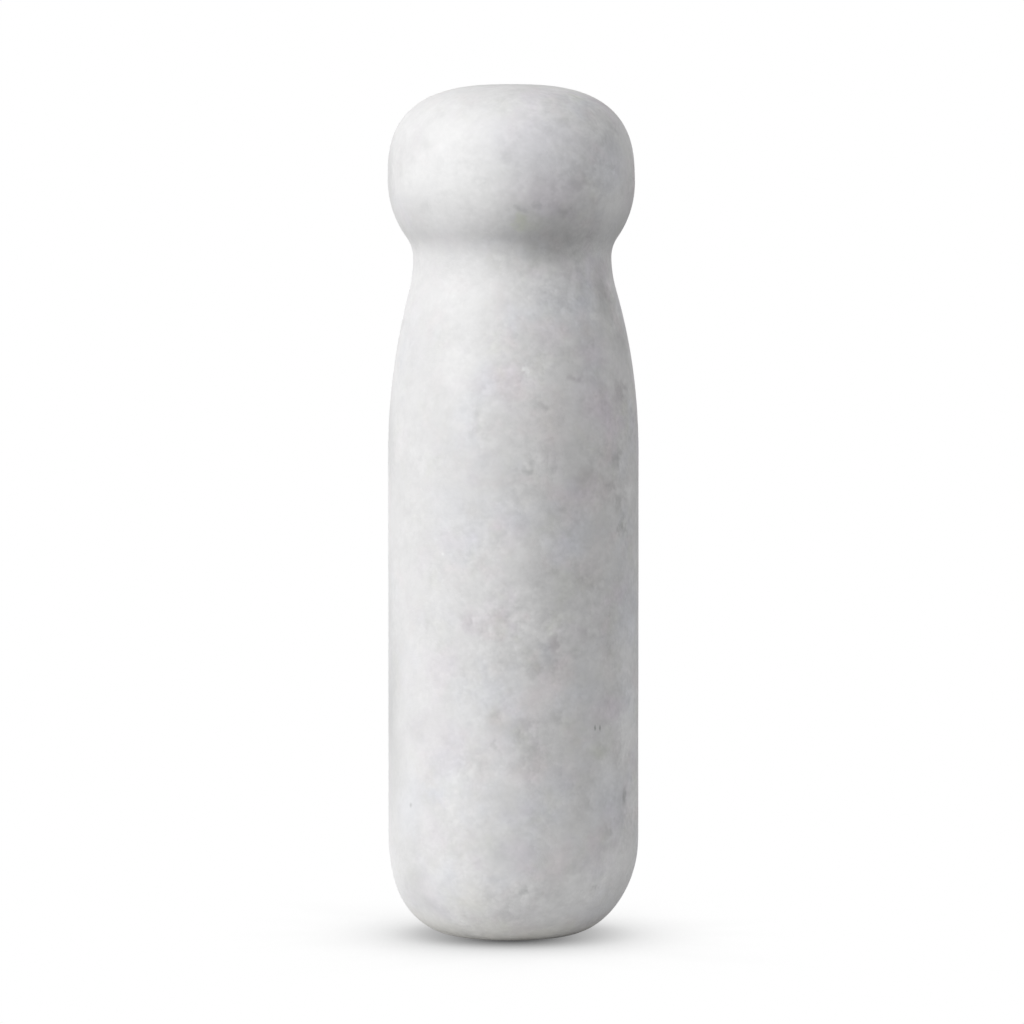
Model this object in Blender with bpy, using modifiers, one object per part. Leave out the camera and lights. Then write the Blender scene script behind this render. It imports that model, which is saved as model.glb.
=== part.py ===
"""Marble pestle, turned and ground from one block of white marble.

Metres, +Z up. The pestle stands on its foot, the small flat of its heel, with the foot's
centre at the origin and its axis along Z.

From the foot up, one outline runs round the heel, up the straight grip, over a long
shoulder into the neck, out under the head, round its widest ring and over the crown.
Every stretch meets the next without a corner.
"""

import math

import bpy

MM = 0.001

OBJECT_NAME = "marble_pestle"

# Whole pestle
LENGTH = 150.0 * MM  # foot to the top of the crown
GRIP_DIAMETER = 44.2 * MM  # straight part, between the heel and the shoulder

# Heel, the grinding end
FOOT_DIAMETER = 17.0 * MM  # flat that the pestle stands on
HEEL_HEIGHT = 17.9 * MM  # foot to the start of the straight grip
HEEL_FULLNESS = 2.17  # 2 gives an elliptic corner, and more a squarer one

# Neck
NECK_CUT = 4.65 * MM  # how far the neck lies inside the grip's side
SHOULDER_RADIUS = 109.0 * MM  # convex arc that leaves the straight grip
THROAT_RADIUS = 21.0 * MM  # hollow arc that brings the shoulder into the neck

# Head
HEAD_OVERHANG = 4.3 * MM  # how far the head stands out past the neck
NECK_FILLET = 6.15 * MM  # hollow arc from the neck out under the head
UNDERSIDE_RADIUS = 16.9 * MM  # convex arc from the fillet up to the widest ring
CROWN_HEIGHT = 17.0 * MM  # widest ring to the top
CROWN_FULLNESS = 2.76  # 2 gives an elliptic crown, and more a flatter one

# Facets
SIDES = 72  # facets round the axis
MOST_TURN = math.radians(7.5)  # most that the outline turns between two facets
MERGE_DISTANCE = 0.01 * MM  # closes the two poles and the seam

# Marble
MARBLE_COLOUR = (0.78, 0.775, 0.77, 1.0)
MARBLE_ROUGHNESS = 0.38


def clear_scene():
    for obj in list(bpy.data.objects):
        bpy.data.objects.remove(obj, do_unlink=True)


def make_marble():
    material = bpy.data.materials.new("honed_marble")
    material.use_nodes = True
    shader = material.node_tree.nodes["Principled BSDF"]
    shader.inputs["Base Color"].default_value = MARBLE_COLOUR
    shader.inputs["Roughness"].default_value = MARBLE_ROUGHNESS
    shader.inputs["Metallic"].default_value = 0.0
    return material


def steps_between(start, end):
    """Values from start to end, both included, close enough together for the outline."""
    count = max(1, math.ceil(abs(end - start) / MOST_TURN - 1e-9))
    return [start + (end - start) * i / count for i in range(count + 1)]


def arc(centre, radius, start, end):
    """Round stretch about a centre, its angles measured from +X towards +Z."""
    return [
        (centre[0] + radius * math.cos(angle), centre[1] + radius * math.sin(angle))
        for angle in steps_between(start, end)
    ]


def full_corner(centre, reach_x, reach_z, fullness, start, end):
    """Quarter of a superellipse about a centre.

    reach_z is negative for a corner below its centre. The angles are those of the outward
    normal above or below the horizontal, so that every facet turns by the same amount.
    """
    spread = fullness / (2 * (fullness - 1))
    points = []
    for tilt in steps_between(start, end):
        across = (reach_x * math.cos(tilt)) ** spread
        along = (abs(reach_z) * math.sin(tilt)) ** spread
        place = math.atan2(along, across)
        x = reach_x * math.cos(place) ** (2 / fullness)
        z = reach_z * math.sin(place) ** (2 / fullness)
        points.append((centre[0] + x, centre[1] + z))
    return points


def join_stretches(stretches):
    """One outline from stretches that each start where the last one ended."""
    outline = list(stretches[0])
    for stretch in stretches[1:]:
        outline += stretch[1:]
    return outline


def pestle_outline():
    """The outline from the top of the crown down to the middle of the foot, as (x, z)."""
    grip = GRIP_DIAMETER / 2
    foot = FOOT_DIAMETER / 2
    neck = grip - NECK_CUT
    head = neck + HEAD_OVERHANG
    quarter_turn = math.pi / 2

    # The fillet and the underside touch on the line between their centres.
    widest_z = LENGTH - CROWN_HEIGHT
    centres = NECK_FILLET + UNDERSIDE_RADIUS
    flare = math.acos(1 - HEAD_OVERHANG / centres)
    neck_z = widest_z - centres * math.sin(flare)

    # So do the throat and the shoulder.
    centres = THROAT_RADIUS + SHOULDER_RADIUS
    taper = math.acos(1 - NECK_CUT / centres)
    shoulder_z = neck_z - centres * math.sin(taper)

    crown = full_corner((0, widest_z), head, CROWN_HEIGHT, CROWN_FULLNESS, quarter_turn, 0)
    crown[0] = (0, LENGTH)
    underside = arc((head - UNDERSIDE_RADIUS, widest_z), UNDERSIDE_RADIUS, 0, -flare)
    fillet = arc((neck + NECK_FILLET, neck_z), NECK_FILLET, math.pi - flare, math.pi)
    throat = arc((neck + THROAT_RADIUS, neck_z), THROAT_RADIUS, math.pi, math.pi + taper)
    shoulder = arc((grip - SHOULDER_RADIUS, shoulder_z), SHOULDER_RADIUS, taper, 0)
    straight = [(grip, shoulder_z), (grip, HEEL_HEIGHT)]
    heel = full_corner(
        (foot, HEEL_HEIGHT), grip - foot, -HEEL_HEIGHT, HEEL_FULLNESS, 0, quarter_turn
    )
    heel[-1] = (foot, 0)
    flat = [(foot, 0), (0, 0)]
    return join_stretches(
        [crown, underside, fillet, throat, shoulder, straight, heel, flat]
    )


def turn(name, outline, material):
    """A solid of revolution about Z, from an outline that runs down its outer side."""
    mesh = bpy.data.meshes.new(name)
    points = [(x, 0, z) for x, z in outline]
    edges = [(i, i + 1) for i in range(len(outline) - 1)]
    mesh.from_pydata(points, edges, [])
    mesh.materials.append(material)
    obj = bpy.data.objects.new(name, mesh)

    screw = obj.modifiers.new("turned", "SCREW")
    screw.axis = "Z"
    screw.angle = 2 * math.pi
    screw.steps = SIDES
    screw.render_steps = SIDES
    screw.use_merge_vertices = True
    screw.merge_threshold = MERGE_DISTANCE
    screw.use_smooth_shade = True
    return obj


def main():
    clear_scene()
    parts = bpy.data.collections.new(OBJECT_NAME)
    bpy.context.scene.collection.children.link(parts)
    parts.objects.link(turn("pestle", pestle_outline(), make_marble()))


main()
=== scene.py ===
"""Looks of a honed marble pestle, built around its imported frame.

The file is laid out as an add-on and run as a script. The stone is one turned piece: its outline
follows a rule, so Geometry Nodes draw it. Its marble is a procedural material on the stone's own
coordinates. Everything is in metres, with the foot's centre at the origin and +Z up.
"""

import math
from typing import NamedTuple

import bpy
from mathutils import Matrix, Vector


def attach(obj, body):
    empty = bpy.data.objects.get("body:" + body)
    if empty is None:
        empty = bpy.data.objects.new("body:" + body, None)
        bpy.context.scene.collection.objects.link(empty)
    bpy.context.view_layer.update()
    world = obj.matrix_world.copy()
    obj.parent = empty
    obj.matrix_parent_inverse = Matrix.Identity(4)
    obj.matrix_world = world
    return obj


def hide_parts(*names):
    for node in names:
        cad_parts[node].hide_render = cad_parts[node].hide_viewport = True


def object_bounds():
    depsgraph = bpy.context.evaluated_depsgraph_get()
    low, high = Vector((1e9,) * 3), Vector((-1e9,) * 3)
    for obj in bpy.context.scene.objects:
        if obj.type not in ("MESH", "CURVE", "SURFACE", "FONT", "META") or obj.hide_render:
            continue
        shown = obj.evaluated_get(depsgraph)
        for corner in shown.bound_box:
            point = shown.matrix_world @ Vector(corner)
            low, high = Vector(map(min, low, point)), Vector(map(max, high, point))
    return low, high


bl_info = {
    "name": "Marble Pestle",
    "version": (1, 0, 0),
    "blender": (4, 5, 0),
    "location": "3D View > Sidebar > Pestle",
    "description": "A honed marble pestle, and the pale studio that it stands in",
    "category": "Add Mesh",
}

MM = 0.001
TURN = 2 * math.pi
QUARTER = math.pi / 2

MERGE_DISTANCE = 0.002 * MM  # closes the outline's joins, and the mesh's seam and poles
FLOOR_GAP = 0.05 * MM  # keeps the floor just clear of the foot
SHADOW_REACH = 1.0  # how far off the stone still shades the floor
OPEN_FLOOR = 1.078  # just over white, so that only the floor by the pestle is shaded
SHADOW_FALL = 1.43  # how steeply the shadow deepens towards the pestle
LIFT_EASE = 0.12  # share of open room at which the lift of the shadow is full
MIDDLE = Vector((0.0, 0.0, 75 * MM))  # middle of the pestle
AIM_OFFSET = Vector((-0.24 * MM, 0.0, -0.25 * MM))  # where the camera aims, from the middle
SENSOR_WIDTH = 36.0  # of the camera, in mm, as Blender counts it

# The glow on the floor, close round the heel
GLOW_CENTRE = 3 * MM  # to the right of the pestle's axis
GLOW_STRETCH = 1.7  # how many times as wide as it is deep
GLOW_START = (6 * MM, 19 * MM)  # distances between which it comes in
GLOW_END = (60 * MM, 30 * MM)  # distances between which it fades away

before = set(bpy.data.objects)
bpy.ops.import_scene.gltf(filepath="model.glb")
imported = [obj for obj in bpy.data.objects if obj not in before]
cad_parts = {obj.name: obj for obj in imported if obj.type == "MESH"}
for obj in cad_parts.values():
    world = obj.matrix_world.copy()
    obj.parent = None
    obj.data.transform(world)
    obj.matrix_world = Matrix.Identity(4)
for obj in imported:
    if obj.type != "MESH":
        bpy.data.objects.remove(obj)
CAD_LOW, CAD_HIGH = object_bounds()


def size(name, millimetres, description):
    """A length property, given in millimetres and held in metres."""
    return bpy.props.FloatProperty(
        name=name,
        description=description,
        default=millimetres * MM,
        min=0.0,
        unit="LENGTH",
        precision=5,
    )


def share(name, default, description, most=1.0):
    return bpy.props.FloatProperty(
        name=name, description=description, default=default, min=0.0, max=most, precision=3
    )


def colour(name, default, description):
    return bpy.props.FloatVectorProperty(
        name=name, description=description, default=default, min=0.0, max=1.0, subtype="COLOR"
    )


def angle(name, degrees, description):
    return bpy.props.FloatProperty(
        name=name, description=description, default=math.radians(degrees), subtype="ANGLE"
    )


class StoneShape(bpy.types.PropertyGroup):
    """Sizes of the turned stone, and of what the hand left uneven on it."""

    length: size("Length", (CAD_HIGH.z - CAD_LOW.z) / MM, "Foot to the top of the crown")
    grip_diameter: size("Grip Diameter", (CAD_HIGH.x - CAD_LOW.x) / MM, "Straight part")
    foot_diameter: size("Foot Diameter", 17.0, "Flat that the pestle stands on")
    heel_height: size("Heel Height", 17.9, "Foot to the start of the straight grip")
    heel_fullness: share("Heel Fullness", 2.17, "2 is elliptic, and more is squarer", 8.0)
    neck_cut: size("Neck Cut", 4.65, "How far the neck lies inside the grip's side")
    shoulder_radius: size("Shoulder Radius", 109.0, "Convex arc that leaves the straight grip")
    throat_radius: size("Throat Radius", 21.0, "Hollow arc from the shoulder into the neck")
    head_overhang: size("Head Overhang", 4.3, "How far the head stands out past the neck")
    neck_fillet: size("Neck Fillet", 6.15, "Hollow arc from the neck out under the head")
    underside_radius: size("Underside Radius", 16.9, "Convex arc up to the widest ring")
    crown_height: size("Crown Height", 17.0, "Widest ring to the top")
    crown_fullness: share("Crown Fullness", 2.76, "2 is elliptic, and more is flatter", 8.0)
    head_drift: size("Head Drift", 0.41, "How far the head is ground off the axis, towards -X")
    heel_drift: size("Heel Drift", 0.5, "How far the heel is ground off the axis, towards -X")
    ripple_depth: size("Ripple Depth", 0.05, "Depth of the shallow hollows that grinding left")
    ripple_width: size("Ripple Width", 14.0, "Width of those hollows")
    facet_length: size("Facet Length", 0.7, "Side of the mesh's faces")


class StoneFinish(bpy.types.PropertyGroup):
    """Colours and surface of the honed marble."""

    stone: colour("Stone", (0.80, 0.797, 0.7985), "Colour of the clean marble")
    milk: colour("Milk", (0.93, 0.93, 0.93), "Colour of the whitest crystals")
    lilac: colour("Lilac", (0.80, 0.72, 0.81), "Mineral tint of the violet patches")
    rose: colour("Rose", (0.84, 0.745, 0.765), "Mineral tint of the warm patches")
    slate: colour("Slate", (0.72, 0.75, 0.845), "Mineral tint of the cool patches")
    olive: colour("Olive", (0.73, 0.765, 0.63), "Mineral tint of the greenish patches")
    sand: colour("Sand", (0.83, 0.805, 0.71), "Tint of the foot, and of the stone just above it")
    plum: colour("Plum", (0.20, 0.16, 0.19), "Colour of the violet marks")
    graphite: colour("Graphite", (0.16, 0.17, 0.16), "Colour of the small dark marks")
    tints: share("Tints", 0.27, "How strongly the mineral tints colour their patches")
    cloud_size: size("Cloud Size", 13.0, "Width of the widest clouds")
    cloud_depth: share("Clouds", 0.035, "How far the wide clouds darken or lighten the stone")
    mottle_size: size("Mottle Size", 6.0, "Width of the mottling between the clouds")
    mottle_depth: share("Mottling", 0.085, "How far the mottling darkens or lightens the stone")
    crystal_size: size("Crystal Size", 0.55, "Width of one crystal of the grain")
    crystal_depth: share("Crystals", 0.03, "How far one crystal differs from the next")
    fleck_depth: share("Flecks", 0.08, "How far the scattered flecks darken the stone")
    vein_depth: share("Veins", 0.03, "How far the thin broken veins darken the stone")
    calm_side: share("Calm Side", 0.45, "Contrast of the marbling on the -X side", 2.0)
    bold_side: share("Bold Side", 1.10, "Contrast of the marbling on the +X side", 2.0)
    calm_foot: share("Calm Foot", 0.30, "How far the marbling fades low on the -X side")
    # Painted shade: darkens the crease under the head and the crown's top edge
    crease_and_crown_shade: share("Painted_Shade", 0.05, "How far painted_shade has greyed the crease and the crown's top")
    foot_tint: share("Foot Tint", 0.40, "How far the foot is yellowed")
    roughness: share("Roughness", 0.60, "Roughness of the honed surface")
    gloss: share("Gloss", 0.08, "Specular level of the honed surface")
    relief: size("Relief", 0.012, "Height of the grain that the honing left")


class Studio(bpy.types.PropertyGroup):
    """Camera, floor and lamps. A lamp of strength 1 shows a white card as full white."""

    distance: size("Camera Distance", 1000.0, "From the middle of the pestle")
    elevation: angle("Camera Elevation", 3.0, "Above the horizontal")
    lens: bpy.props.FloatProperty(
        name="Lens", description="Focal length on a 36 mm sensor, in mm", default=199.35
    )
    key_light: share("Key Light", 0.615, "Lamp on the left", 5.0)
    low_light: share("Low Light", 0.22, "Lamp on the left, just above the floor", 5.0)
    top_light: share("Top Light", 0.23, "Lamp high on the right", 5.0)
    room_light: share("Room Light", 0.278, "Even light from all round", 5.0)
    lamp_width: angle("Lamp Width", 30.0, "How wide each soft lamp looks from the pestle")
    floor_lift: share("Floor Lift", 0.173, "How bright the floor stays in the deepest shadow")
    side_lift: share("Side Lift", 0.24, "How far the shadow is lit from the left and the right")
    floor_bounce: share("Floor Bounce", 0.4, "How much light the floor throws on the stone")
    floor_glow: share("Floor Glow", 0.21, "Light that the floor adds close to the heel")
    floor_radius: size("Floor Radius", 3000.0, "Centre of the floor to its edge")


class NodeValue:
    """A number or a vector that a node tree works out. Arithmetic on it adds Math nodes."""

    def __init__(self, tree, socket):
        self.tree = tree
        self.socket = socket

    def __add__(self, other):
        return maths("ADD", self, other)

    def __radd__(self, other):
        return maths("ADD", other, self)

    def __sub__(self, other):
        return maths("SUBTRACT", self, other)

    def __rsub__(self, other):
        return maths("SUBTRACT", other, self)

    def __mul__(self, other):
        return maths("MULTIPLY", self, other)

    def __rmul__(self, other):
        return maths("MULTIPLY", other, self)

    def __truediv__(self, other):
        return maths("DIVIDE", self, other)

    def __rtruediv__(self, other):
        return maths("DIVIDE", other, self)

    def __pow__(self, other):
        return maths("POWER", self, other)

    def __neg__(self):
        return maths("MULTIPLY", self, -1.0)


def fill_inputs(tree, node, inputs):
    """Links or sets each input named."""
    for key, value in inputs.items():
        if isinstance(value, NodeValue):
            tree.links.new(value.socket, node.inputs[key])
        else:
            node.inputs[key].default_value = value


def add_node(tree, kind, inputs=None, **settings):
    """Adds a node, sets its properties, and fills the inputs named."""
    node = tree.nodes.new(kind)
    for name, value in settings.items():
        setattr(node, name, value)
    fill_inputs(tree, node, inputs or {})
    return node


def output_of(node, name=0):
    return NodeValue(node.id_data, node.outputs[name])


def tree_of(values):
    return next(value.tree for value in values if isinstance(value, NodeValue))


def maths(operation, *values):
    tree = tree_of(values)
    node = add_node(tree, "ShaderNodeMath", dict(enumerate(values)), operation=operation)
    return output_of(node)


def vector_maths(operation, *values):
    """Vector Math on one or two vectors. A length comes out as a number."""
    tree = tree_of(values)
    node = add_node(tree, "ShaderNodeVectorMath", dict(enumerate(values)), operation=operation)
    return output_of(node, "Value" if operation == "LENGTH" else "Vector")


def scaled(vector, factor):
    inputs = {"Vector": vector, "Scale": factor}
    return output_of(add_node(vector.tree, "ShaderNodeVectorMath", inputs, operation="SCALE"))


def vector_of(x, y, z):
    inputs = {"X": x, "Y": y, "Z": z}
    return output_of(add_node(tree_of((x, y, z)), "ShaderNodeCombineXYZ", inputs))


def parts_of(vector):
    node = add_node(vector.tree, "ShaderNodeSeparateXYZ", {"Vector": vector})
    return [output_of(node, name) for name in "XYZ"]


def eased(value, start, end):
    """0 before start, 1 after end, and a smooth rise or fall between."""
    inputs = {"Value": value, "From Min": start, "From Max": end}
    node = add_node(value.tree, "ShaderNodeMapRange", inputs, interpolation_type="SMOOTHSTEP")
    return output_of(node, "Result")


def new_group(name, kind, inputs, outputs):
    """A node group with named inputs and outputs.

    Each input is (name, socket type, default), and each output is (name, socket type). It
    returns the tree, its inputs as NodeValues by name, and its output node.
    """
    tree = bpy.data.node_groups.new(name, kind)
    for socket_name, socket_type, default in inputs:
        socket = tree.interface.new_socket(
            socket_name, in_out="INPUT", socket_type=f"NodeSocket{socket_type}"
        )
        if default is not None:
            socket.default_value = default
    for socket_name, socket_type in outputs:
        tree.interface.new_socket(
            socket_name, in_out="OUTPUT", socket_type=f"NodeSocket{socket_type}"
        )
    source = tree.nodes.new("NodeGroupInput")
    given = {key: NodeValue(tree, source.outputs[key]) for key, _, _ in inputs}
    return tree, given, tree.nodes.new("NodeGroupOutput")


def use_group(tree, kind, group, inputs):
    node = tree.nodes.new(kind)
    node.node_tree = group
    fill_inputs(tree, node, inputs)
    return node


def lay_out(tree):
    """Puts each node in a column, by its longest way to the output."""
    column_width, row_height = 220, 180
    columns = {}

    def column_of(node):
        if node not in columns:
            after = {link.to_node for socket in node.outputs for link in socket.links}
            columns[node] = 1 + max((column_of(other) for other in after), default=-1)
        return columns[node]

    rows = {}
    for node in tree.nodes:
        column = column_of(node)
        node.location = (-column_width * column, -row_height * rows.get(column, 0))
        rows[column] = rows.get(column, 0) + 1


def round_stretch_group():
    """A stretch of outline that is a quarter of a superellipse, or less of it.

    A reach is negative where the stretch lies on that side of its centre. The tilts are those
    of the surface's normal from the horizontal. A fullness of 2 with equal reaches is an arc.
    """
    tree, given, result = new_group(
        "Round Stretch",
        "GeometryNodeTree",
        [
            ("Centre X", "Float", 0.0),
            ("Centre Z", "Float", 0.0),
            ("Reach X", "Float", 1.0),
            ("Reach Z", "Float", 1.0),
            ("Fullness", "Float", 2.0),
            ("Start Tilt", "Float", 0.0),
            ("End Tilt", "Float", QUARTER),
        ],
        [("Line", "Geometry")],
    )
    points = 64
    line = add_node(tree, "GeometryNodeMeshLine", {"Count": points}, mode="OFFSET")
    step = output_of(add_node(tree, "GeometryNodeInputIndex")) / (points - 1)
    tilt = given["Start Tilt"] + (given["End Tilt"] - given["Start Tilt"]) * step
    fullness = given["Fullness"]
    spread = fullness / (2 * (fullness - 1))
    across = maths("ABSOLUTE", given["Reach X"]) * maths("COSINE", tilt)
    along = maths("ABSOLUTE", given["Reach Z"]) * maths("SINE", tilt)
    place = maths("ARCTAN2", along**spread, across**spread)
    x = given["Centre X"] + given["Reach X"] * maths("COSINE", place) ** (2 / fullness)
    z = given["Centre Z"] + given["Reach Z"] * maths("SINE", place) ** (2 / fullness)
    inputs = {"Geometry": output_of(line), "Position": vector_of(x, 0.0, z)}
    drawn = add_node(tree, "GeometryNodeSetPosition", inputs)
    tree.links.new(drawn.outputs[0], result.inputs["Line"])
    lay_out(tree)
    return tree


def straight_stretch(start, end):
    """A straight stretch of outline between two vectors."""
    inputs = {"Count": 2, "Start Location": start, "Offset": end}
    return output_of(add_node(start.tree, "GeometryNodeMeshLine", inputs, mode="END_POINTS"))


def stone_outline(tree, given):
    """The stone's outline as one curve, from the crown's top to the middle of the foot."""
    stretch = round_stretch_group()

    def round_stretch(centre, reach, fullness, start, end):
        inputs = {
            "Centre X": centre[0],
            "Centre Z": centre[1],
            "Reach X": reach[0],
            "Reach Z": reach[1],
            "Fullness": fullness,
            "Start Tilt": start,
            "End Tilt": end,
        }
        return output_of(use_group(tree, "GeometryNodeGroup", stretch, inputs))

    grip = given["Grip Diameter"] / 2
    foot = given["Foot Diameter"] / 2
    neck = grip - given["Neck Cut"]
    head = neck + given["Head Overhang"]
    widest_z = given["Length"] - given["Crown Height"]
    fillet, underside = given["Neck Fillet"], given["Underside Radius"]
    throat, shoulder = given["Throat Radius"], given["Shoulder Radius"]

    # Two arcs that touch turn alike, and their centres lie the sum of their radii apart.
    flare = maths("ARCCOSINE", 1 - given["Head Overhang"] / (fillet + underside))
    neck_z = widest_z - (fillet + underside) * maths("SINE", flare)
    taper = maths("ARCCOSINE", 1 - given["Neck Cut"] / (throat + shoulder))
    shoulder_z = neck_z - (throat + shoulder) * maths("SINE", taper)

    heel_height = given["Heel Height"]
    crown_reach = (head, given["Crown Height"])
    heel_reach = (grip - foot, -heel_height)
    grip_ends = vector_of(grip, 0.0, shoulder_z), vector_of(grip, 0.0, heel_height)
    stretches = [
        round_stretch((0.0, widest_z), crown_reach, given["Crown Fullness"], QUARTER, 0.0),
        round_stretch((head - underside, widest_z), (underside, -underside), 2.0, 0.0, flare),
        round_stretch((neck + fillet, neck_z), (-fillet, fillet), 2.0, flare, 0.0),
        round_stretch((neck + throat, neck_z), (-throat, -throat), 2.0, 0.0, taper),
        round_stretch((grip - shoulder, shoulder_z), (shoulder, shoulder), 2.0, taper, 0.0),
        straight_stretch(*grip_ends),
        round_stretch((foot, heel_height), heel_reach, given["Heel Fullness"], 0.0, QUARTER),
        straight_stretch(vector_of(foot, 0.0, 0.0), (0.0, 0.0, 0.0)),
    ]
    joined = tree.nodes.new("GeometryNodeJoinGeometry")
    for stretch_line in stretches:
        tree.links.new(stretch_line.socket, joined.inputs[0])
    merged = add_node(
        tree,
        "GeometryNodeMergeByDistance",
        {"Geometry": output_of(joined), "Distance": MERGE_DISTANCE},
    )
    curve = add_node(tree, "GeometryNodeMeshToCurve", {"Mesh": output_of(merged)})
    even = add_node(
        tree,
        "GeometryNodeResampleCurve",
        {"Curve": output_of(curve), "Length": given["Facet Length"]},
        mode="LENGTH",
    )
    return output_of(even)


def turned_surface(tree, outline, given):
    """A grid laid round the axis: its rows follow the outline, and its columns go round."""
    around = maths("ROUND", given["Grip Diameter"] * math.pi / given["Facet Length"])
    counts = add_node(
        tree, "GeometryNodeAttributeDomainSize", {"Geometry": outline}, component="CURVE"
    )
    rows = output_of(counts, "Point Count")
    grid = add_node(
        tree, "GeometryNodeMeshGrid", {"Vertices X": around + 1, "Vertices Y": rows}
    )
    index = output_of(add_node(tree, "GeometryNodeInputIndex"))
    column = maths("FLOOR", index / rows)
    row = index - column * rows
    position = output_of(add_node(tree, "GeometryNodeInputPosition"))
    sample = add_node(
        tree,
        "GeometryNodeSampleIndex",
        {"Geometry": outline, "Value": position, "Index": row},
        data_type="FLOAT_VECTOR",
        domain="POINT",
    )
    reach, _, height = parts_of(output_of(sample))
    turned = TURN * column / around
    place = vector_of(reach * maths("COSINE", turned), reach * maths("SINE", turned), height)
    wrapped = add_node(
        tree, "GeometryNodeSetPosition", {"Geometry": output_of(grid), "Position": place}
    )
    closed = add_node(
        tree,
        "GeometryNodeMergeByDistance",
        {"Geometry": output_of(wrapped), "Distance": MERGE_DISTANCE},
    )
    return output_of(closed)


def hand_ground(tree, surface, given):
    """Shifts the head and the heel off the axis, and sinks shallow ripples into the side."""
    position = output_of(add_node(tree, "GeometryNodeInputPosition"))
    x, y, z = parts_of(position)
    length = given["Length"]
    # Each drift starts at its first height and is full at its second.
    head_start, head_end = length - 50 * MM, length - 8 * MM
    heel_start, heel_end = 15 * MM, 2 * MM
    head = eased(z, head_start, head_end) * given["Head Drift"]
    heel = eased(z, heel_start, heel_end) * given["Heel Drift"]
    outward = vector_maths("NORMALIZE", vector_of(x, y, 0.0))
    noise = add_node(
        tree,
        "ShaderNodeTexNoise",
        {"Vector": position, "Scale": 1.0 / given["Ripple Width"], "Detail": 0.0},
    )
    depth = output_of(noise) * given["Ripple Depth"]
    on_crown = eased(z, length - given["Crown Height"], length)
    sunk = vector_maths("ADD", scaled(outward, -depth), vector_of(0.0, 0.0, -(depth * on_crown)))
    shift = vector_maths("ADD", sunk, vector_of(-(head + heel), 0.0, 0.0))
    moved = add_node(tree, "GeometryNodeSetPosition", {"Geometry": surface, "Offset": shift})
    return output_of(moved)


def stone_tree(material):
    """The Geometry Nodes tree that makes the whole stone, with an input for each size."""
    sizes = [
        (prop.name, "Float", prop.default)
        for prop in StoneShape.bl_rna.properties
        if prop.type == "FLOAT"
    ]
    tree, given, result = new_group(
        "Turned Stone",
        "GeometryNodeTree",
        [*sizes, ("Material", "Material", None)],
        [("Stone", "Geometry")],
    )
    outline = stone_outline(tree, given)
    surface = hand_ground(tree, turned_surface(tree, outline, given), given)
    smooth = add_node(tree, "GeometryNodeSetShadeSmooth", {"Geometry": surface})
    real = add_node(tree, "GeometryNodeRealizeInstances", {"Geometry": output_of(smooth)})
    inputs = {"Geometry": output_of(real), "Material": given["Material"]}
    painted = add_node(tree, "GeometryNodeSetMaterial", inputs)
    tree.links.new(painted.outputs[0], result.inputs["Stone"])
    lay_out(tree)
    return tree


def mixed(base, other, amount):
    """Base where the amount is 0, and the other colour where it is 1."""
    # A Mix node takes colours in its sockets 6 and 7, and gives the result in output 2.
    tree = tree_of((base, other, amount))
    node = add_node(tree, "ShaderNodeMix", {0: amount, 6: base, 7: other}, data_type="RGBA")
    return output_of(node, 2)


def noise_at(place, scale, **inputs):
    inputs = {"Vector": place, "Scale": scale, **inputs}
    return output_of(add_node(place.tree, "ShaderNodeTexNoise", inputs))


def seeded(place, seed):
    """The place, moved to another part of the pattern."""
    return vector_maths("ADD", place, vector_of(seed, seed * 0.7, seed * 0.4))


def shader_group(name, inputs, outputs, build):
    """A shader node group. The build function gets its inputs and returns its outputs."""
    tree, given, result = new_group(name, "ShaderNodeTree", inputs, outputs)
    for key, value in build(tree, given).items():
        tree.links.new(value.socket, result.inputs[key])
    lay_out(tree)
    return tree


def build_clouds(tree, given):
    """Soft clouding of one size, from about -1 to 1."""
    place = seeded(given["Place"], given["Seed"])
    noise = noise_at(
        place, 1 / given["Size"], Detail=given["Layers"], Roughness=given["Raggedness"]
    )
    middle, gain = 0.5, 4  # bring most of the noise to between -1 and 1
    return {"Clouds": (noise - middle) * gain}


def build_crystals(tree, given):
    """Each crystal's own shade from -1 to 1, and the seams between the crystals."""
    inputs = {"Vector": given["Place"], "Scale": 1 / given["Size"]}
    smoothness, seam_reach = 0.6, 0.18
    soft = add_node(tree, "ShaderNodeTexVoronoi", inputs, feature="SMOOTH_F1")
    soft.inputs["Smoothness"].default_value = smoothness
    shade = (parts_of(output_of(soft, "Color"))[0] - 0.5) * 2
    edges = add_node(tree, "ShaderNodeTexVoronoi", inputs, feature="DISTANCE_TO_EDGE")
    return {"Shade": shade, "Seams": eased(output_of(edges, "Distance"), seam_reach, 0.0)}


def build_flecks(tree, given):
    """Scattered flecks: each cell of the given spacing has one or none."""
    place = seeded(given["Place"], given["Seed"])
    inputs = {"Vector": place, "Scale": 1 / given["Spacing"]}
    cells = add_node(tree, "ShaderNodeTexVoronoi", inputs, feature="F1")
    chance = parts_of(output_of(cells, "Color"))[1]
    least, core = 0.001, 0.2  # a fleck's least size, and the full part of its reach
    reach = given["Reach"] * maths("MAXIMUM", least, 1 - chance / given["Share"])
    return {"Flecks": eased(output_of(cells, "Distance"), reach, reach * core)}


def build_veins(tree, given):
    """Thin broken veins, where a soft noise crosses its middle value."""
    place = seeded(given["Place"], given["Seed"])
    middle, none_below, full_above = 0.5, 0.45, 0.65  # values of the noise
    noise = noise_at(place, 1 / given["Size"], Detail=3.0, Distortion=0.6)
    off_middle = maths("ABSOLUTE", noise - middle)
    wide_noise = noise_at(place, 0.6 / given["Size"], Detail=1.0)
    patches = eased(wide_noise, none_below, full_above)
    return {"Veins": eased(off_middle, given["Width"], 0.0) * patches}


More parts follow.
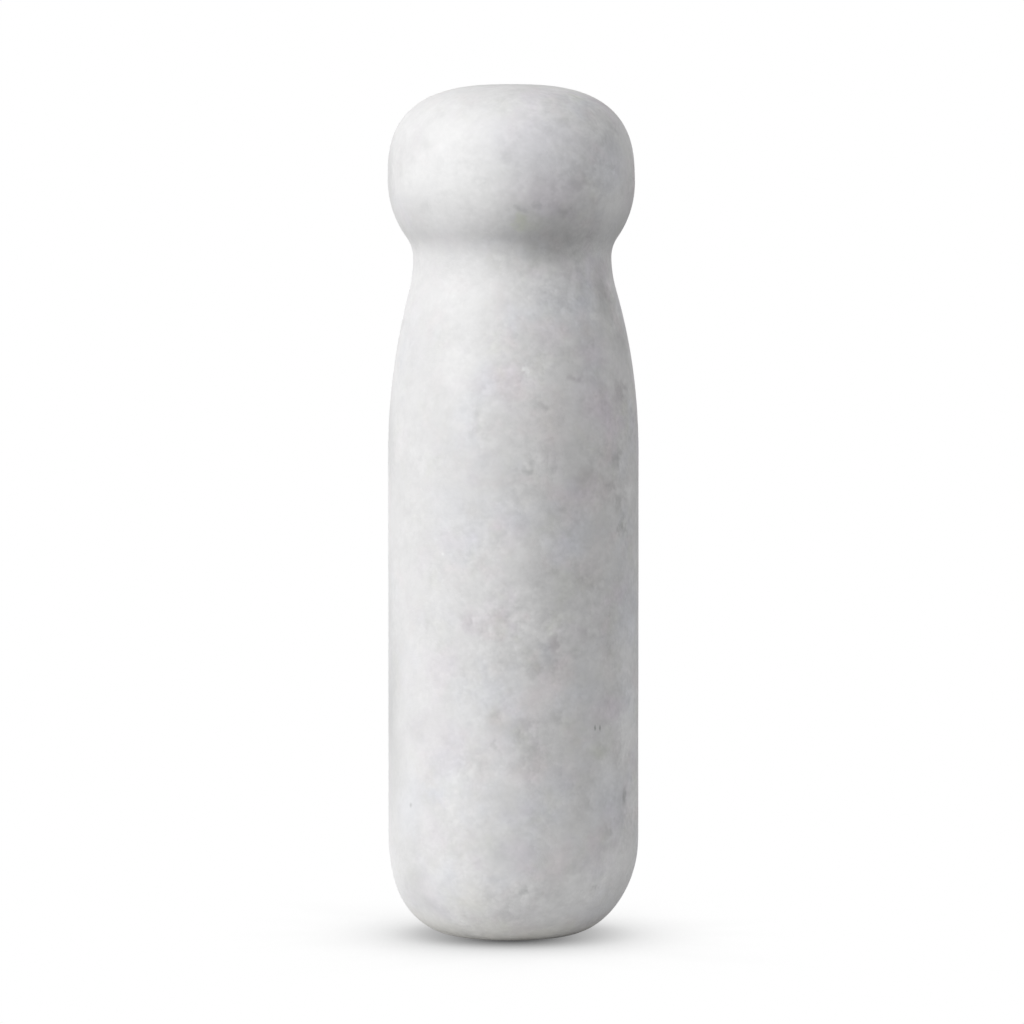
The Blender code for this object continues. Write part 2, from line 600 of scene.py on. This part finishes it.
def build_mark(tree, given):
    """One patch about a centre, soft to its middle, and bent by the clouds."""
    bent = vector_maths("ADD", given["Place"], scaled(given["Bend"], given["Raggedness"]))
    away = vector_maths("SUBTRACT", bent, given["Centre"])
    distance = vector_maths("LENGTH", vector_maths("DIVIDE", away, given["Reach"]))
    return {"Mark": eased(distance, 1.0, 0.0)}


MARBLE_GROUPS = {
    "Marble Clouds": (
        [
            ("Place", "Vector", None),
            ("Size", "Float", 4 * MM),
            ("Layers", "Float", 2.0),
            ("Raggedness", "Float", 0.6),
            ("Seed", "Float", 0.0),
        ],
        [("Clouds", "Float")],
        build_clouds,
    ),
    "Marble Crystals": (
        [("Place", "Vector", None), ("Size", "Float", 0.5 * MM)],
        [("Shade", "Float"), ("Seams", "Float")],
        build_crystals,
    ),
    "Mineral Flecks": (
        [
            ("Place", "Vector", None),
            ("Spacing", "Float", 6 * MM),
            ("Reach", "Float", 0.3),
            ("Share", "Float", 0.5),
            ("Seed", "Float", 0.0),
        ],
        [("Flecks", "Float")],
        build_flecks,
    ),
    "Marble Veins": (
        [
            ("Place", "Vector", None),
            ("Size", "Float", 9 * MM),
            ("Width", "Float", 0.05),
            ("Seed", "Float", 0.0),
        ],
        [("Veins", "Float")],
        build_veins,
    ),
    "Mineral Mark": (
        [
            ("Place", "Vector", None),
            ("Bend", "Vector", None),
            ("Centre", "Vector", None),
            ("Reach", "Vector", None),
            ("Raggedness", "Float", 0.5),
        ],
        [("Mark", "Float")],
        build_mark,
    ),
}


class Mark(NamedTuple):
    """A mark on the near side: across from the axis and up from the foot, in mm as its size is."""

    across: float
    up: float
    half_width: float
    half_height: float
    colour: str
    strength: float
    raggedness: float = 0.8


# Wide fields, soft to their middle, where the stone is whiter, greyer or tinted: some are the
# marble's own clouds, and some are painted highlight, painted light or painted shade. Each has its
# place and half size in mm, and its strength.
CLOUD_AND_LIGHT_FIELD_PLACES = {
    "milk": (
        # Partly the marble's paler clouds, partly painted light: a painted highlight over the head
        # and shoulder, and painted light from the floor along the right side and on the heel
        ((-7.4, 132.5, 15.5, 18.0), 1.0),
        ((-12.0, 134.0, 8.0, 12.0), 0.6),
        ((8.0, 139.5, 8.0, 8.0), 1.0),
        ((3.5, 137.0, 8.0, 9.0), 0.6),
        ((14.0, 142.0, 3.5, 3.5), 0.8),
        ((-17.0, 133.0, 4.5, 7.5), 0.7),
        ((-13.0, 125.0, 7.0, 6.0), 0.5),
        ((-7.0, 124.5, 7.0, 5.5), 0.4),
        ((18.0, 127.5, 6.0, 8.0), 1.0),
        ((18.5, 136.0, 4.5, 5.0), 0.4),
        ((6.5, 131.0, 5.0, 4.0), 0.4),
        ((16.5, 122.0, 5.5, 5.0), 1.0),
        ((-8.5, 113.0, 8.0, 13.0), 0.6),
        ((7.5, 112.5, 5.0, 4.0), 0.6),
        ((11.5, 95.0, 6.0, 9.0), 0.4),
        ((-10.0, 101.0, 8.0, 9.0), 0.65),
        ((-5.0, 95.0, 5.0, 4.5), 0.5),
        ((13.0, 66.0, 5.0, 8.0), 0.4),
        ((20.5, 66.5, 3.0, 5.0), 0.5),
        ((14.5, 49.0, 6.0, 8.0), 0.45),
        ((20.5, 44.0, 3.5, 22.0), 0.7),
        ((16.0, 30.0, 5.0, 8.0), 0.6),
        ((13.0, 10.0, 9.0, 8.0), 0.95),
        ((18.5, 14.0, 4.5, 6.0), 0.5),
        ((-8.0, 42.0, 5.0, 28.0), 0.17),
        ((-9.0, 31.5, 5.0, 4.5), 0.45),
        ((-5.0, 8.0, 5.0, 4.0), 0.3),
        ((10.0, 6.5, 8.0, 3.5), 0.6),
        ((4.5, 8.5, 10.0, 5.5), 0.6),
        ((5.5, 4.0, 7.0, 3.0), 1.0),
    ),
    # Partly the marble's grey clouds, partly painted shade: along the left edge, under the head on
    # the right, and low on the left heel
    "graphite": (
        ((16.5, 143.0, 4.0, 4.0), 0.06),
        ((3.0, 120.0, 9.0, 4.0), 0.22),
        ((9.0, 120.5, 9.0, 4.5), 0.28),
        ((17.0, 114.0, 4.5, 8.5), 0.42),
        ((19.5, 105.5, 3.5, 7.0), 0.26),
        ((4.0, 94.5, 3.5, 3.5), 0.06),
        ((5.5, 81.0, 3.5, 5.0), 0.08),
        ((4.5, 64.0, 4.5, 7.0), 0.09),
        ((4.5, 52.0, 5.0, 9.0), 0.07),
        ((-21.0, 38.0, 4.0, 30.0), 0.15),
        ((3.0, 38.0, 5.5, 24.0), 0.035),
        ((-14.5, 25.5, 5.5, 6.0), 0.08),
        ((-1.0, 38.5, 6.0, 5.0), 0.16),
        ((-16.0, 39.0, 6.0, 6.0), 0.07),
        ((-5.0, 32.0, 6.0, 5.0), 0.07),
        ((-1.0, 24.0, 8.0, 6.0), 0.12),
        ((-1.0, 16.0, 9.0, 6.0), 0.14),
        ((-17.5, 12.0, 6.0, 8.0), 0.10),
        ((-18.0, 18.0, 5.0, 7.0), 0.10),
        ((-18.5, 9.0, 5.0, 7.0), 0.13),
        ((-15.0, 5.5, 5.0, 3.5), 0.20),
        ((-11.0, 2.0, 7.0, 3.0), 0.18),
        ((-3.0, 18.0, 14.0, 7.0), 0.05),
    ),
    "slate": (
        ((6.5, 138.5, 16.0, 14.0), 0.22),
        ((17.0, 137.0, 7.0, 9.0), 0.25),
        ((14.0, 119.0, 5.5, 5.0), 0.35),
        ((9.0, 114.0, 11.0, 6.0), 0.28),
        ((-5.6, 98.5, 3.5, 4.5), 0.20),
        ((20.0, 58.0, 4.5, 12.0), 0.28),
        ((20.0, 42.0, 4.5, 9.0), 0.28),
        ((17.0, 25.0, 6.5, 9.0), 0.28),
        ((-18.0, 24.0, 4.0, 9.0), 0.20),
    ),
    "lilac": (
        ((5.5, 139.5, 13.0, 9.0), 0.14),
        ((5.5, 130.5, 11.0, 6.0), 0.30),
        ((6.5, 107.0, 5.5, 5.5), 0.24),
        ((13.5, 103.0, 5.0, 4.0), 0.28),
        ((15.5, 93.5, 6.5, 6.5), 0.32),
        ((-7.6, 56.5, 3.5, 3.5), 0.15),
        ((17.0, 41.0, 5.0, 4.0), 0.32),
        ((1.3, 16.6, 4.0, 4.0), 0.22),
    ),
    "rose": (
        ((7.0, 91.0, 5.0, 8.0), 0.20),
        ((15.0, 79.5, 5.0, 5.0), 0.20),
        ((10.0, 76.5, 5.0, 5.0), 0.17),
        ((12.0, 66.0, 4.0, 5.0), 0.17),
        ((7.5, 47.0, 4.5, 7.0), 0.22),
        ((4.0, 42.5, 4.5, 4.5), 0.17),
        ((-1.8, 40.0, 4.5, 4.0), 0.20),
        ((-2.5, 35.0, 4.0, 4.0), 0.16),
        ((3.0, 30.5, 6.0, 4.0), 0.20),
        ((8.0, 13.5, 4.0, 5.5), 0.20),
    ),
    "olive": (((15.0, 34.0, 2.5, 2.5), 0.30),),
    "sand": (((-8.0, 8.5, 7.0, 5.0), 0.20),),
}
FIELD_RAGGEDNESS = 1.5
CLOUD_AND_LIGHT_FIELDS = [
    Mark(*place, stain, strength, raggedness=FIELD_RAGGEDNESS)
    for stain, places in CLOUD_AND_LIGHT_FIELD_PLACES.items()
    for place, strength in places
]

# The smaller marks. The first three are painted shade along the left edge, and the others run from
# the head down.
MARKS = (
    Mark(-21.7, 134.0, 1.3, 10.0, "graphite", 0.12, raggedness=0.3),
    Mark(-21.9, 88.0, 1.8, 16.0, "graphite", 0.12, raggedness=0.3),
    Mark(-22.05, 44.0, 2.6, 38.0, "graphite", 0.13, raggedness=0.3),
    Mark(9.0, 143.3, 2.3, 1.6, "graphite", 0.17),
    Mark(15.2, 140.0, 1.5, 1.8, "graphite", 0.14),
    Mark(17.0, 135.0, 1.2, 1.7, "graphite", 0.13),
    Mark(8.3, 138.4, 3.2, 2.6, "milk", 0.35),
    Mark(11.9, 132.8, 3.4, 1.7, "plum", 0.20),
    Mark(2.2, 132.0, 1.2, 1.2, "milk", 0.40),
    Mark(-12.0, 130.9, 1.6, 1.0, "graphite", 0.06),
    Mark(-15.3, 128.2, 1.9, 1.3, "graphite", 0.07),
    Mark(1.2, 127.7, 1.7, 1.1, "graphite", 0.22),
    Mark(3.9, 128.5, 0.9, 1.3, "graphite", 0.16),
    Mark(8.8, 127.4, 2.3, 1.2, "graphite", 0.18),
    Mark(1.3, 125.8, 2.2, 1.7, "olive", 0.40),
    Mark(2.6, 125.4, 4.5, 3.0, "olive", 0.25),
    Mark(16.2, 124.0, 2.5, 2.5, "milk", 0.40),
    Mark(-2.7, 119.7, 2.4, 1.0, "milk", 0.55),
    Mark(9.8, 117.4, 2.6, 1.6, "graphite", 0.17),
    Mark(7.4, 114.3, 3.2, 2.4, "milk", 0.50),
    Mark(-1.8, 111.6, 2.0, 1.6, "graphite", 0.06),
    Mark(13.9, 109.2, 1.0, 1.3, "milk", 1.0),
    Mark(5.0, 106.0, 2.3, 2.4, "plum", 0.13),
    Mark(-5.3, 105.7, 2.0, 3.0, "plum", 0.05),
    Mark(9.2, 104.9, 2.0, 1.4, "milk", 0.50),
    Mark(10.9, 101.7, 2.2, 1.8, "milk", 0.40),
    Mark(2.3, 99.8, 0.9, 1.4, "milk", 0.95),
    Mark(10.6, 98.9, 1.9, 1.5, "plum", 0.24),
    Mark(-6.2, 97.3, 2.4, 2.4, "plum", 0.11),
    Mark(18.4, 96.4, 1.7, 3.0, "plum", 0.24),
    Mark(5.2, 94.2, 2.4, 1.1, "graphite", 0.19),
    Mark(12.2, 93.5, 2.0, 2.6, "plum", 0.10),
    Mark(-3.9, 87.7, 2.5, 2.5, "milk", 0.40),
    Mark(2.5, 83.3, 1.9, 1.2, "graphite", 0.25),
    Mark(17.9, 84.7, 1.4, 2.6, "graphite", 0.24),
    Mark(12.5, 82.0, 3.8, 2.6, "plum", 0.20),
    Mark(0.8, 80.4, 1.4, 1.1, "milk", 0.35),
    Mark(16.9, 79.9, 1.2, 1.5, "graphite", 0.17),
    Mark(20.2, 78.6, 1.2, 2.8, "milk", 0.75),
    Mark(18.3, 77.0, 1.1, 2.8, "graphite", 0.18),
    Mark(18.8, 73.2, 1.0, 3.0, "graphite", 0.27),
    Mark(4.5, 71.3, 1.6, 1.9, "graphite", 0.10),
    Mark(-12.2, 68.5, 0.4, 0.4, "milk", 0.80, raggedness=0.1),
    Mark(-8.8, 68.3, 2.0, 2.2, "plum", 0.06),
    Mark(-12.3, 52.2, 2.4, 2.0, "graphite", 0.05),
    Mark(-7.6, 56.5, 1.9, 2.6, "plum", 0.20),
    Mark(8.3, 55.7, 1.3, 1.8, "milk", 0.40),
    Mark(6.9, 53.1, 1.5, 2.2, "plum", 0.22),
    Mark(12.4, 54.5, 1.8, 1.6, "plum", 0.09),
    Mark(6.8, 50.0, 1.4, 1.8, "graphite", 0.10),
    Mark(-3.4, 40.7, 1.5, 1.2, "graphite", 0.13),
    Mark(2.4, 39.0, 1.8, 1.8, "graphite", 0.14),
    Mark(7.2, 40.4, 1.8, 1.8, "graphite", 0.14),
    Mark(16.2, 39.1, 1.7, 1.4, "graphite", 0.10),
    Mark(14.2, 38.1, 0.24, 0.75, "graphite", 0.60, raggedness=0.1),
    Mark(15.0, 38.0, 0.24, 0.75, "graphite", 0.60, raggedness=0.1),
    Mark(0.8, 37.2, 1.3, 1.7, "graphite", 0.19),
    Mark(-3.3, 35.2, 1.1, 1.2, "graphite", 0.13),
    Mark(19.8, 36.4, 2.0, 6.8, "milk", 0.90),
    Mark(10.9, 31.7, 2.4, 2.4, "milk", 0.35),
    Mark(7.8, 30.6, 1.1, 1.1, "graphite", 0.10),
    Mark(17.9, 32.1, 1.0, 2.6, "graphite", 0.09),
    Mark(-13.5, 26.5, 3.0, 2.4, "slate", 0.25),
    Mark(19.4, 25.4, 0.6, 2.6, "graphite", 0.42, raggedness=0.2),
    Mark(12.7, 24.8, 1.3, 2.0, "graphite", 0.09),
    Mark(-17.9, 24.2, 0.35, 0.7, "graphite", 0.30, raggedness=0.1),
    Mark(4.4, 22.1, 4.0, 1.2, "graphite", 0.10),
    Mark(-10.9, 21.3, 1.0, 1.0, "graphite", 0.07),
    Mark(16.4, 19.8, 1.7, 1.8, "graphite", 0.13),
    Mark(14.3, 9.9, 0.8, 1.2, "graphite", 0.20),
    Mark(1.6, 9.8, 1.1, 1.4, "graphite", 0.24),
    Mark(5.7, 6.8, 3.0, 2.2, "milk", 0.30),
    Mark(-11.8, 6.2, 2.0, 1.1, "graphite", 0.08),
    Mark(-1.0, 5.4, 3.4, 1.3, "graphite", 0.10),
)
MARK_DEPTH = 12 * MM  # how far a mark reaches into the stone

# The calm side and the bold side of the marbling
SIDE_LEAN = 0.12  # how far the line between them leans, so that the head has more of the calm one
CALM_EDGE = -20 * MM  # all is calm beyond this, at the middle's height
BOLD_EDGE = 4 * MM  # all is bold beyond this, at the middle's height
BACK_REACH = 12 * MM  # how far behind the axis the back's own boldness is full
BACK_BOLDNESS = 0.8  # 0 is as calm as the calm side, and 1 as bold as the bold side
CALM_FOOT_TOP = 62 * MM  # where the fading of the marbling towards the foot starts
CALM_FOOT_FULL = 40 * MM  # where it is full
BOLD_SPARED = 0.7  # share of that fading that the bold side is spared
PATCH_SIZE = 8.0 * MM  # width of the bolder and the calmer patches
PATCH_DEPTH = 0.5  # how far they differ

# Layers of the marbling whose size or depth is a share of another's
BLOT_SIZE = 0.4  # blots, of the mottling
BLOT_SHARE = 0.3
FINE_SIZE = 0.2  # fine mottling, of the mottling
FINE_SHARE = 0.4
LIGHT_SHARE = 0.45  # light flecks, of the dark ones
PATTERN_BEND = 0.5 * MM  # how far the clouding bends the flecks and the veins
MARK_BEND = 1 * MM  # how far it bends a mark of raggedness 1

# What the clouding does to the roughness, and shares of the relief
WIDE_ROUGHNESS = 0.02
FINE_ROUGHNESS = 0.03
SEAM_HEIGHT = -0.5
FINE_HEIGHT = 0.5
CRYSTAL_HEIGHT = 0.3

# Painted shade, measured down from the top, and yellowing, measured up from the foot
CREASE_TOP = 18 * MM
CREASE_MIDDLE = 26 * MM
CREASE_FOOT = 35 * MM
CROWN_EDGE = 0.9 * MM
CROWN_CORE = 0.1 * MM
CROWN_SHADE = 4.0  # how many times as strong as in the crease
YELLOW_TOP = 6.5 * MM
YELLOW_FULL = 0.5 * MM


def marble_material(shape, finish):
    """Honed white marble, on the stone's own coordinates."""
    material = bpy.data.materials.new("honed_marble")
    material.use_nodes = True
    tree = material.node_tree
    place = output_of(tree.nodes.new("ShaderNodeTexCoord"), "Object")
    x, y, z = parts_of(place)
    groups = {name: shader_group(name, *parts) for name, parts in MARBLE_GROUPS.items()}

    def layer(name, **inputs):
        inputs = {key.replace("_", " "): value for key, value in inputs.items()}
        return use_group(tree, "ShaderNodeGroup", groups[name], inputs)

    def clouds(size_across, layers, raggedness, seed):
        node = layer(
            "Marble Clouds",
            Place=place,
            Size=size_across,
            Layers=layers,
            Raggedness=raggedness,
            Seed=seed,
        )
        return output_of(node)

    wide = clouds(finish.cloud_size, layers=1.5, raggedness=0.5, seed=0.31)

    # One side of the stone is more boldly marbled than the other, and some patches than others.
    # The back is marbled nearly as boldly as the bold side. Towards the foot it all fades a little.
    side = eased(x - (z - MIDDLE.z) * SIDE_LEAN, CALM_EDGE, BOLD_EDGE)
    side = maths("MAXIMUM", side, eased(y, 0.0, BACK_REACH) * BACK_BOLDNESS)
    patchy = clouds(PATCH_SIZE, layers=1.0, raggedness=0.5, seed=0.93)
    contrast = finish.calm_side + (finish.bold_side - finish.calm_side) * side
    low = eased(z, CALM_FOOT_TOP, CALM_FOOT_FULL)
    faded = low * (1 - side * BOLD_SPARED) * finish.calm_foot
    contrast = contrast * (1 + patchy * PATCH_DEPTH) * (1 - faded)

    mottle = clouds(finish.mottle_size, layers=2.5, raggedness=0.75, seed=0.57)
    fine = clouds(finish.mottle_size * FINE_SIZE, layers=1.0, raggedness=0.6, seed=0.83)
    blots = clouds(finish.mottle_size * BLOT_SIZE, layers=1.0, raggedness=0.5, seed=0.19)
    grain = layer("Marble Crystals", Place=place, Size=finish.crystal_size)
    seams, crystals = output_of(grain, "Seams"), output_of(grain, "Shade")
    bent = vector_maths("ADD", place, scaled(vector_of(mottle, fine, wide), PATTERN_BEND))
    dark = layer("Mineral Flecks", Place=bent, Spacing=6.0 * MM, Reach=0.34, Share=0.6, Seed=0.1)
    light = layer("Mineral Flecks", Place=bent, Spacing=4.0 * MM, Reach=0.22, Share=0.5, Seed=0.2)
    veins = layer("Marble Veins", Place=bent, Size=9.0 * MM, Width=0.05, Seed=0.47)
    shade = (
        wide * finish.cloud_depth
        + mottle * finish.mottle_depth
        + blots * (finish.mottle_depth * BLOT_SHARE)
        + fine * (finish.mottle_depth * FINE_SHARE)
        + crystals * finish.crystal_depth
        - output_of(dark) * finish.fleck_depth
        + output_of(light) * (finish.fleck_depth * LIGHT_SHARE)
        - output_of(veins) * finish.vein_depth
    )

    # The tints lie in patches of their own: colour, share of the amount, size and seed.
    tints = (
        (finish.lilac, 1.0, 9.0 * MM, 0.17),
        (finish.rose, 0.8, 6.0 * MM, 0.37),
        (finish.slate, 0.9, 11.0 * MM, 0.29),
        (finish.olive, 0.5, 5.0 * MM, 0.71),
    )
    stained = (*finish.stone, 1.0)
    for tint, amount, width, seed in tints:
        patches = eased(clouds(width, layers=2.0, raggedness=0.6, seed=seed), 0.0, 1.0)
        stained = mixed(stained, (*tint, 1.0), patches * contrast * (amount * finish.tints))

    # Painted shade greys the crease under the head and the crown's top edge. Standing on a table
    # yellows the foot.
    down = shape.length - z
    crease = eased(down, CREASE_FOOT, CREASE_MIDDLE) * eased(down, CREASE_TOP, CREASE_MIDDLE)
    crown = eased(down, CROWN_EDGE, CROWN_CORE)
    uneven = 0.75 + 0.25 * mottle  # the painted shade lies in patches
    crease_and_crown_shade = (crease + crown * CROWN_SHADE) * uneven * finish.crease_and_crown_shade
    stained = mixed(stained, (*finish.graphite, 1.0), crease_and_crown_shade)
    yellowed = eased(z, YELLOW_TOP, YELLOW_FULL) * finish.foot_tint
    stained = mixed(stained, (*finish.sand, 1.0), yellowed)

    # The fields are bent by the wider clouds, and the marks by the finer ones.
    sway = scaled(vector_of(wide, mottle, patchy), MARK_BEND)
    bend = scaled(vector_of(fine, mottle, blots), MARK_BEND)
    bent_marks = [(mark, sway) for mark in CLOUD_AND_LIGHT_FIELDS] + [(mark, bend) for mark in MARKS]
    for mark, bending in bent_marks:
        across, up = mark.across * MM, mark.up * MM
        near = -math.sqrt((shape.grip_diameter / 2) ** 2 - across**2)
        patch = layer(
            "Mineral Mark",
            Place=place,
            Bend=bending,
            Centre=(across, near, up),
            Reach=(mark.half_width * MM, MARK_DEPTH, mark.half_height * MM),
            Raggedness=mark.raggedness,
        )
        stain = (*getattr(finish, mark.colour), 1.0)
        stained = mixed(stained, stain, output_of(patch) * mark.strength)

    shader = tree.nodes["Principled BSDF"]
    shader.inputs["Specular IOR Level"].default_value = finish.gloss
    marbled = scaled(stained, 1 + shade * contrast)
    tree.links.new(marbled.socket, shader.inputs["Base Color"])
    roughness = finish.roughness + wide * WIDE_ROUGHNESS + fine * FINE_ROUGHNESS
    tree.links.new(roughness.socket, shader.inputs["Roughness"])
    height = seams * SEAM_HEIGHT + fine * FINE_HEIGHT + crystals * CRYSTAL_HEIGHT
    inputs = {"Height": height, "Distance": finish.relief}
    bump = output_of(add_node(tree, "ShaderNodeBump", inputs), "Normal")
    tree.links.new(bump.socket, shader.inputs["Normal"])
    lay_out(tree)
    return material


def plain_mesh_object(name, modifier_tree, values):
    """The result of a Geometry Nodes tree as an object with a plain mesh and no modifier."""
    base = bpy.data.objects.new(name, bpy.data.meshes.new(name + "_base"))
    bpy.context.scene.collection.objects.link(base)
    modifier = base.modifiers.new("shape", "NODES")
    modifier.node_group = modifier_tree
    for item in modifier_tree.interface.items_tree:
        if item.in_out == "INPUT" and item.name in values:
            modifier[item.identifier] = values[item.name]
    evaluated = base.evaluated_get(bpy.context.evaluated_depsgraph_get())
    mesh = bpy.data.meshes.new_from_object(evaluated)
    base.modifiers.remove(modifier)
    base.data = mesh
    mesh.name = name
    # The grid leaves an empty material slot in front of the stone's own.
    mesh.materials.clear()
    mesh.materials.append(values["Material"])
    mesh.polygons.foreach_set("material_index", [0] * len(mesh.polygons))
    return base


class PESTLE_OT_stone(bpy.types.Operator):
    """Turns the marble stone and puts it in the frame's place"""

    bl_idname = "pestle.stone"
    bl_label = "Marble Stone"

    def execute(self, context):
        shape = context.scene.pestle_shape
        material = marble_material(shape, context.scene.pestle_finish)
        values = {
            prop.name: getattr(shape, prop.identifier)
            for prop in StoneShape.bl_rna.properties
            if prop.type == "FLOAT"
        }
        values["Material"] = material
        stone = plain_mesh_object("marble_stone", stone_tree(material), values)
        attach(stone, "root")
        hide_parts("pestle")
        return {"FINISHED"}


def seen_directly(tree):
    """1 for what the camera sees, also in a reflection or through glass, and else 0."""
    path = tree.nodes.new("ShaderNodeLightPath")
    names = ("Is Camera Ray", "Is Glossy Ray", "Is Transmission Ray")
    camera, glossy, through = (output_of(path, name) for name in names)
    return maths("MAXIMUM", maths("MAXIMUM", camera, glossy), through)


def mixed_shaders(tree, base, other, amount):
    """Base where the amount is 0, and the other shader where it is 1."""
    node = add_node(tree, "ShaderNodeMixShader", {0: amount})
    tree.links.new(base.outputs[0], node.inputs[1])
    tree.links.new(other.outputs[0], node.inputs[2])
    return node


def grey(level):
    return level, level, level, 1.0


def floor_material(studio):
    """White, with the pestle's soft shadow where it hides the room from the floor."""
    material = bpy.data.materials.new("studio_floor")
    material.use_nodes = True
    tree = material.node_tree
    tree.nodes.clear()

    # What is seen: how much of the room the floor sees, from 0 to 1, gives its shade.
    place = output_of(tree.nodes.new("ShaderNodeTexCoord"), "Object")
    x, y, _ = parts_of(place)
    sides = x**2 / (x**2 + y**2)
    occlusion = add_node(tree, "ShaderNodeAmbientOcclusion", {"Distance": SHADOW_REACH})
    sky = output_of(occlusion, "AO")
    lift = studio.floor_lift * eased(sky, -LIFT_EASE, LIFT_EASE)
    lit = lift + sky**SHADOW_FALL * OPEN_FLOOR + sides * (1 - sky) * studio.side_lift
    seen = add_node(tree, "ShaderNodeEmission", {"Strength": maths("MINIMUM", lit, 1.0)})

    # What lights the stone: the lamps' light thrown back, and a glow close to the heel.
    away = vector_maths("LENGTH", vector_of((x - GLOW_CENTRE) / GLOW_STRETCH, y, 0.0))
    ring = eased(away, *GLOW_START) * eased(away, *GLOW_END)
    glow = ring * studio.floor_glow
    bounce = add_node(tree, "ShaderNodeBsdfDiffuse", {"Color": grey(studio.floor_bounce)})
    glowing = add_node(tree, "ShaderNodeEmission", {"Strength": glow})
    thrown = tree.nodes.new("ShaderNodeAddShader")
    tree.links.new(bounce.outputs[0], thrown.inputs[0])
    tree.links.new(glowing.outputs[0], thrown.inputs[1])

    surface = mixed_shaders(tree, thrown, seen, seen_directly(tree))
    output = tree.nodes.new("ShaderNodeOutputMaterial")
    tree.links.new(surface.outputs[0], output.inputs["Surface"])
    lay_out(tree)
    return material


def lay_floor(studio):
    corners = 96
    ring = [
        (
            studio.floor_radius * math.cos(TURN * i / corners),
            studio.floor_radius * math.sin(TURN * i / corners),
            -FLOOR_GAP,
        )
        for i in range(corners)
    ]
    mesh = bpy.data.meshes.new("studio_floor")
    mesh.from_pydata(ring, [], [range(corners)])
    mesh.materials.append(floor_material(studio))
    floor = bpy.data.objects.new("studio_floor", mesh)
    bpy.context.scene.collection.objects.link(floor)


def light_room(studio):
    """A world that is white where it is seen, and gives an even, dimmer light."""
    world = bpy.data.worlds.new("studio_room")
    bpy.context.scene.world = world
    world.use_nodes = True
    tree = world.node_tree
    tree.nodes.clear()

    def backdrop(strength):
        return add_node(tree, "ShaderNodeBackground", {"Color": grey(1.0), "Strength": strength})

    surface = mixed_shaders(tree, backdrop(studio.room_light), backdrop(1.0), seen_directly(tree))
    output = tree.nodes.new("ShaderNodeOutputWorld")
    tree.links.new(surface.outputs[0], output.inputs["Surface"])
    lay_out(tree)


def soft_lamp(name, strength, width, turned, raised):
    """A lamp, turned from the camera towards its left and raised, both in degrees."""
    data = bpy.data.lights.new(name, "SUN")
    data.energy = strength * math.pi
    data.angle = width
    lamp = bpy.data.objects.new(name, data)
    bpy.context.scene.collection.objects.link(lamp)
    turned, raised = math.radians(turned), math.radians(raised)
    towards = Vector(
        (
            -math.sin(turned) * math.cos(raised),
            -math.cos(turned) * math.cos(raised),
            math.sin(raised),
        )
    )
    lamp.rotation_euler = towards.to_track_quat("Z", "Y").to_euler()


def place_camera(studio):
    data = bpy.data.cameras.new("camera")
    data.sensor_width = SENSOR_WIDTH
    data.lens = studio.lens
    camera = bpy.data.objects.new("camera", data)
    bpy.context.scene.collection.objects.link(camera)
    back = Vector((0.0, -math.cos(studio.elevation), math.sin(studio.elevation)))
    camera.location = MIDDLE + back * studio.distance
    aim = MIDDLE + AIM_OFFSET
    camera.rotation_euler = (aim - camera.location).to_track_quat("-Z", "Y").to_euler()
    bpy.context.scene.camera = camera


class PESTLE_OT_stage(bpy.types.Operator):
    """Lays the pale floor and sets up the camera and the lamps"""

    bl_idname = "pestle.stage"
    bl_label = "Studio"

    def execute(self, context):
        studio = context.scene.pestle_studio
        lay_floor(studio)
        light_room(studio)
        width = studio.lamp_width
        soft_lamp("key_lamp", studio.key_light, width, turned=60, raised=25)
        soft_lamp("low_lamp", studio.low_light, width, turned=75, raised=5)
        soft_lamp("top_lamp", studio.top_light, width, turned=-45, raised=50)
        place_camera(studio)
        context.scene.view_settings.view_transform = "Standard"
        return {"FINISHED"}


class PESTLE_PT_panel(bpy.types.Panel):
    """Lists the pestle's operators and values"""

    bl_idname = "PESTLE_PT_panel"
    bl_label = "Marble Pestle"
    bl_space_type = "VIEW_3D"
    bl_region_type = "UI"
    bl_category = "Pestle"

    def draw(self, context):
        scene = context.scene
        pieces = (
            (PESTLE_OT_stone, (scene.pestle_shape, scene.pestle_finish)),
            (PESTLE_OT_stage, (scene.pestle_studio,)),
        )
        for operator, groups in pieces:
            box = self.layout.box()
            box.operator(operator.bl_idname)
            for group in groups:
                for prop in type(group).bl_rna.properties:
                    if prop.type == "FLOAT":
                        box.prop(group, prop.identifier)


CLASSES = (
    StoneShape,
    StoneFinish,
    Studio,
    PESTLE_OT_stone,
    PESTLE_OT_stage,
    PESTLE_PT_panel,
)


def register():
    for cls in CLASSES:
        bpy.utils.register_class(cls)
    bpy.types.Scene.pestle_shape = bpy.props.PointerProperty(type=StoneShape)
    bpy.types.Scene.pestle_finish = bpy.props.PointerProperty(type=StoneFinish)
    bpy.types.Scene.pestle_studio = bpy.props.PointerProperty(type=Studio)


def unregister():
    del bpy.types.Scene.pestle_studio
    del bpy.types.Scene.pestle_finish
    del bpy.types.Scene.pestle_shape
    for cls in reversed(CLASSES):
        bpy.utils.unregister_class(cls)


def main():
    register()
    bpy.ops.pestle.stone()
    bpy.ops.pestle.stage()


if __name__ == "__main__":
    main()
